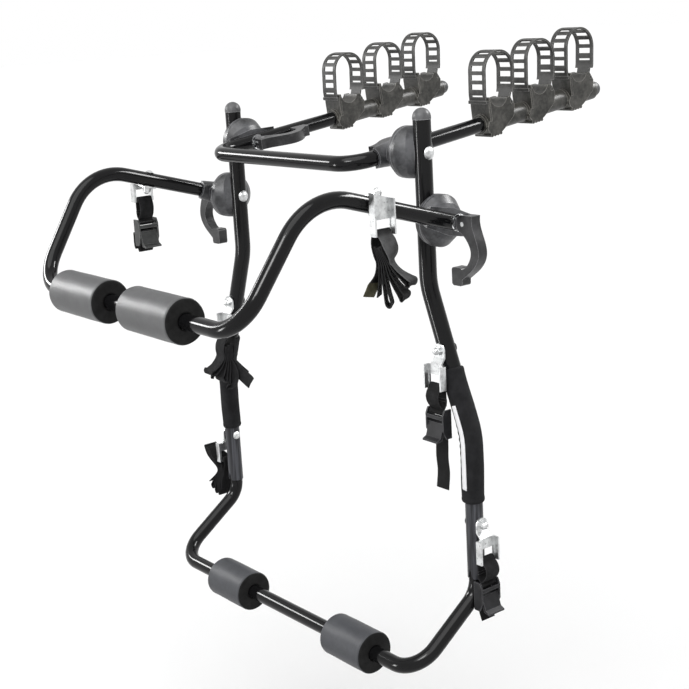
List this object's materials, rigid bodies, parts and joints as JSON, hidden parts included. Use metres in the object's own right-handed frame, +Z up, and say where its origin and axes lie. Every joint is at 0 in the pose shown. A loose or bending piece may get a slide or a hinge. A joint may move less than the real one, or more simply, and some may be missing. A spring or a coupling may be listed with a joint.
{
  "type": "spare wheel bike rack",
  "caption": "Strap-on spare wheel bike rack: splayed tube uprights, hooked foam-roller frame, folding bike arms with ladder-strap cradles, hub clamps and webbing.",
  "frame": {"origin": "middle of the lower crossbar, on the tube's centre line, where the lower rollers rest on the spare wheel", "axes": "+X to the rack's right along the crossbars, +Y away from the car along the bike arms, +Z up along the uprights"},
  "size_m": [0.7079, 0.793, 0.8831],
  "materials": {
    "powder_coat": "gloss black powder coat",
    "hub_plastic": "satin moulded",
    "cap_plastic": "satin moulded",
    "zinc": "bright zinc plate",
    "bright_ring": "polished",
    "lever_plastic": "satin moulded",
    "sleeve_cover": "plain padded wrap",
    "dark_foam": "skinned foam",
    "grey_foam": "skinned foam",
    "cradle_plastic": "moulded",
    "strap_rubber": "moulded ladder",
    "webbing": "woven strap",
    "buckle": "grey painted"
  },
  "bodies": {
    "main_frame": {"left_upright_tube": "powder_coat", "right_upright_tube": "powder_coat", "lower_u_tube": "powder_coat", "upright_caps": "cap_plastic", "left_upper_hub_upright_half": "hub_plastic", "right_upper_hub_upright_half": "hub_plastic", "left_lower_hub_upright_half": "hub_plastic", "right_lower_hub_upright_half": "hub_plastic", "hub_bolts": "zinc", "hub_washers": "bright_ring", "left_sleeve": "sleeve_cover", "right_sleeve": "sleeve_cover", "left_lower_roller": "dark_foam", "right_lower_roller": "dark_foam", "left_upper_bracket": "zinc", "right_upper_bracket": "zinc", "left_lower_bracket": "zinc", "right_lower_bracket": "zinc", "upright_bracket_bolts": "zinc"},
    "bike_arms": {"bike_arm_tube": "powder_coat", "arm_end_caps": "cap_plastic", "ladder_strap_pins": "zinc", "left_upper_hub_arm_half": "hub_plastic", "right_upper_hub_arm_half": "hub_plastic", "left_cradle_1": "cradle_plastic", "left_cradle_2": "cradle_plastic", "left_cradle_3": "cradle_plastic", "right_cradle_1": "cradle_plastic", "right_cradle_2": "cradle_plastic", "right_cradle_3": "cradle_plastic"},
    "spacer_frame": {"spacer_tube": "powder_coat", "arm_bracket_bolts": "zinc", "left_lower_hub_arm_half": "hub_plastic", "right_lower_hub_arm_half": "hub_plastic", "left_spacer_roller": "grey_foam", "right_spacer_roller": "grey_foam", "left_arm_bracket": "zinc", "right_arm_bracket": "zinc"},
    "left_upper_lever": {"left_upper_lever": "lever_plastic"},
    "right_upper_lever": {"right_upper_lever": "lever_plastic"},
    "left_lower_lever": {"left_lower_lever": "lever_plastic"},
    "right_lower_lever": {"right_lower_lever": "lever_plastic"},
    "left_ladder_strap_1": {"left_ladder_strap_1": "strap_rubber"},
    "left_ladder_strap_2": {"left_ladder_strap_2": "strap_rubber"},
    "left_ladder_strap_3": {"left_ladder_strap_3": "strap_rubber"},
    "right_ladder_strap_1": {"right_ladder_strap_1": "strap_rubber"},
    "right_ladder_strap_2": {"right_ladder_strap_2": "strap_rubber"},
    "right_ladder_strap_3": {"right_ladder_strap_3": "strap_rubber"},
    "left_arm_buckle": {"left_arm_buckle_webbing": "webbing", "left_arm_buckle_frame": "buckle"},
    "left_arm_buckle_lever": {"left_arm_buckle_lever": "buckle"},
    "right_upper_buckle": {"right_upper_buckle_webbing": "webbing", "right_upper_buckle_frame": "buckle"},
    "right_upper_buckle_lever": {"right_upper_buckle_lever": "buckle"},
    "right_lower_buckle": {"right_lower_buckle_webbing": "webbing", "right_lower_buckle_frame": "buckle"},
    "right_lower_buckle_lever": {"right_lower_buckle_lever": "buckle"},
    "right_arm_strap_bundle": {"right_arm_strap_bundle": "webbing"},
    "left_upper_strap_bundle": {"left_upper_strap_bundle": "webbing"},
    "left_lower_strap_bundle": {"left_lower_strap_bundle": "webbing"}
  },
  "joints": [
    {"name": "bike_arms_fold", "type": "hinge", "parent": "main_frame", "child": "bike_arms", "pos_m": [0, 0.121, 0.703], "axis": [1, 0, 0], "range_deg": [-95, 30]},
    {"name": "spacer_fold", "type": "hinge", "parent": "main_frame", "child": "spacer_frame", "pos_m": [0, 0.121, 0.613], "axis": [-1, 0, 0], "range_deg": [-55, 70]},
    {"name": "left_upper_lever_turn", "type": "hinge", "parent": "main_frame", "child": "left_upper_lever", "pos_m": [-0.147, 0.121, 0.703], "axis": [0, 0.1288, -0.9917], "range_deg": [0, 80]},
    {"name": "left_lower_lever_turn", "type": "hinge", "parent": "main_frame", "child": "left_lower_lever", "pos_m": [-0.307, 0.121, 0.613], "axis": [0, 1, 0], "range_deg": [0, 90]},
    {"name": "left_ladder_strap_1_open", "type": "hinge", "parent": "bike_arms", "child": "left_ladder_strap_1", "pos_m": [-0.173, 0.33075, 0.75343], "axis": [-1, 0, 0], "range_deg": [0, 15]},
    {"name": "left_ladder_strap_2_open", "type": "hinge", "parent": "bike_arms", "child": "left_ladder_strap_2", "pos_m": [-0.173, 0.41703, 0.76464], "axis": [-1, 0, 0], "range_deg": [0, 15]},
    {"name": "left_ladder_strap_3_open", "type": "hinge", "parent": "bike_arms", "child": "left_ladder_strap_3", "pos_m": [-0.173, 0.5033, 0.77585], "axis": [-1, 0, 0], "range_deg": [0, 88]},
    {"name": "right_upper_lever_turn", "type": "hinge", "parent": "main_frame", "child": "right_upper_lever", "pos_m": [0.147, 0.121, 0.703], "axis": [0, -0.1288, 0.9917], "range_deg": [0, 80]},
    {"name": "right_lower_lever_turn", "type": "hinge", "parent": "main_frame", "child": "right_lower_lever", "pos_m": [0.307, 0.121, 0.613], "axis": [0, -1, 0], "range_deg": [0, 90]},
    {"name": "right_ladder_strap_1_open", "type": "hinge", "parent": "bike_arms", "child": "right_ladder_strap_1", "pos_m": [0.173, 0.33075, 0.75343], "axis": [-1, 0, 0], "range_deg": [0, 15]},
    {"name": "right_ladder_strap_2_open", "type": "hinge", "parent": "bike_arms", "child": "right_ladder_strap_2", "pos_m": [0.173, 0.41703, 0.76464], "axis": [-1, 0, 0], "range_deg": [0, 15]},
    {"name": "right_ladder_strap_3_open", "type": "hinge", "parent": "bike_arms", "child": "right_ladder_strap_3", "pos_m": [0.173, 0.5033, 0.77585], "axis": [-1, 0, 0], "range_deg": [0, 88]},
    {"name": "left_arm_buckle_swing", "type": "hinge", "parent": "spacer_frame", "child": "left_arm_buckle", "pos_m": [-0.29625, -0.01647, 0.61969], "axis": [0, -1, 0], "range_deg": [0, 45]},
    {"name": "left_arm_buckle_lever_press", "type": "hinge", "parent": "left_arm_buckle", "child": "left_arm_buckle_lever", "pos_m": [-0.29625, -0.01647, 0.56605], "axis": [0, -1, 0], "range_deg": [0, 45], "stiffness_Nm_per_rad": 0.05, "springref_deg": -22.92},
    {"name": "right_upper_buckle_swing", "type": "hinge", "parent": "main_frame", "child": "right_upper_buckle", "pos_m": [0.25941, 0.1002, 0.384], "axis": [-1, 0, 0], "range_deg": [0, 25]},
    {"name": "right_upper_buckle_lever_press", "type": "hinge", "parent": "right_upper_buckle", "child": "right_upper_buckle_lever", "pos_m": [0.25941, 0.1002, 0.33036], "axis": [-1, 0, 0], "range_deg": [0, 45], "stiffness_Nm_per_rad": 0.05, "springref_deg": -22.92},
    {"name": "right_lower_buckle_swing", "type": "hinge", "parent": "main_frame", "child": "right_lower_buckle", "pos_m": [0.3238, 0.121, 0.14], "axis": [0, -1, 0], "range_deg": [0, 45]},
    {"name": "right_lower_buckle_lever_press", "type": "hinge", "parent": "right_lower_buckle", "child": "right_lower_buckle_lever", "pos_m": [0.3238, 0.121, 0.08636], "axis": [0, -1, 0], "range_deg": [0, 45], "stiffness_Nm_per_rad": 0.05, "springref_deg": -22.92},
    {"name": "right_arm_bundle_swing", "type": "hinge", "parent": "spacer_frame", "child": "right_arm_strap_bundle", "pos_m": [0.29625, -0.01647, 0.61969], "axis": [0, -1, 0], "range_deg": [0, 45]},
    {"name": "left_upper_bundle_swing", "type": "hinge", "parent": "main_frame", "child": "left_upper_strap_bundle", "pos_m": [-0.25941, 0.1002, 0.384], "axis": [-1, 0, 0], "range_deg": [0, 25]},
    {"name": "left_lower_bundle_swing", "type": "hinge", "parent": "main_frame", "child": "left_lower_strap_bundle", "pos_m": [-0.3238, 0.121, 0.14], "axis": [0, 1, 0], "range_deg": [0, 12]}
  ]
}
